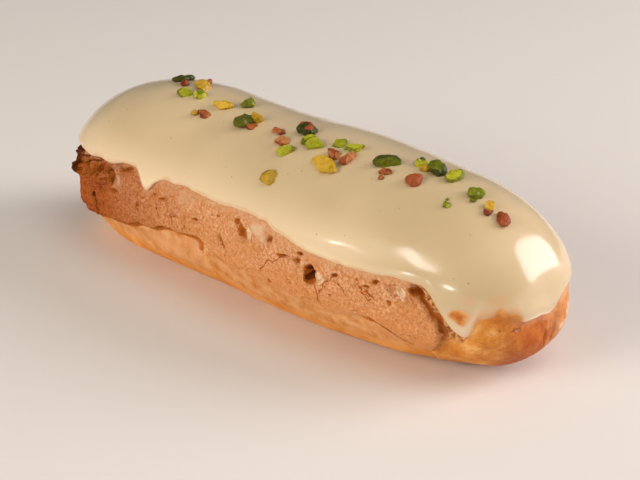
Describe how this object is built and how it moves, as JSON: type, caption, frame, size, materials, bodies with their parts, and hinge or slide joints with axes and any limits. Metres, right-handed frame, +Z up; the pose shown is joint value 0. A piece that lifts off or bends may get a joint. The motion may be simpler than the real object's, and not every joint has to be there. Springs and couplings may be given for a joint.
{
  "type": "pistachio eclair",
  "caption": "Long choux bun with a torn biscuit crust, a poured pistachio icing over its top and a flat base to rest on.",
  "frame": {"origin": "under the middle of the bun's length and width, at the level of its flat base", "axes": "+X along the bun to its full, bare end; -Y to the front; +Z up"},
  "size_m": [0.128, 0.0444, 0.0392],
  "materials": {
    "choux_shell": "baked choux pastry under a crumbly sugar biscuit crust, matt, orange brown, bare and golden at one end",
    "icing": "glossy poured fondant, pale cream with a green cast, with fine dark specks of ground nut"
  },
  "bodies": {
    "root": {"choux_shell": "choux_shell", "icing": "icing"}
  },
  "joints": []
}
